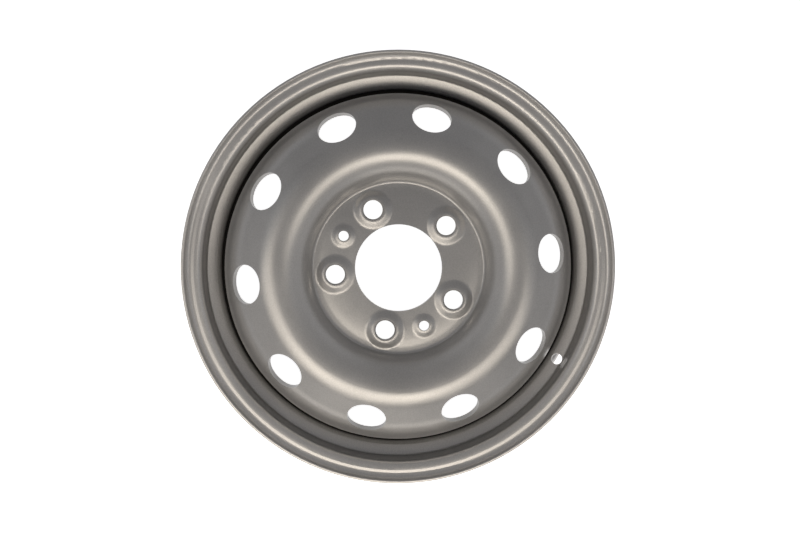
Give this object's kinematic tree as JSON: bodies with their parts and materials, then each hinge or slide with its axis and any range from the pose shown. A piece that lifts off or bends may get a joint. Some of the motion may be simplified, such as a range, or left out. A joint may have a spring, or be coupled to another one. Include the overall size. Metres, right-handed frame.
{
  "type": "wheel rim",
  "caption": "pressed-steel disc wheel for a light van: rolled drop-centre rim, vented pressed disc with raised bolt bosses, welded together, no tyre",
  "frame": {"origin": "centre of the face that bears on the hub, on the axle", "axes": "+Z along the axle towards the outboard side, +Y towards the valve hole"},
  "size_m": [0.4402, 0.44, 0.1901],
  "materials": {
    "silver_paint": "satin silver-grey wheel paint over steel"
  },
  "bodies": {
    "root": {"rim": "silver_paint", "disc": "silver_paint", "weld_beads": "silver_paint"}
  },
  "joints": []
}
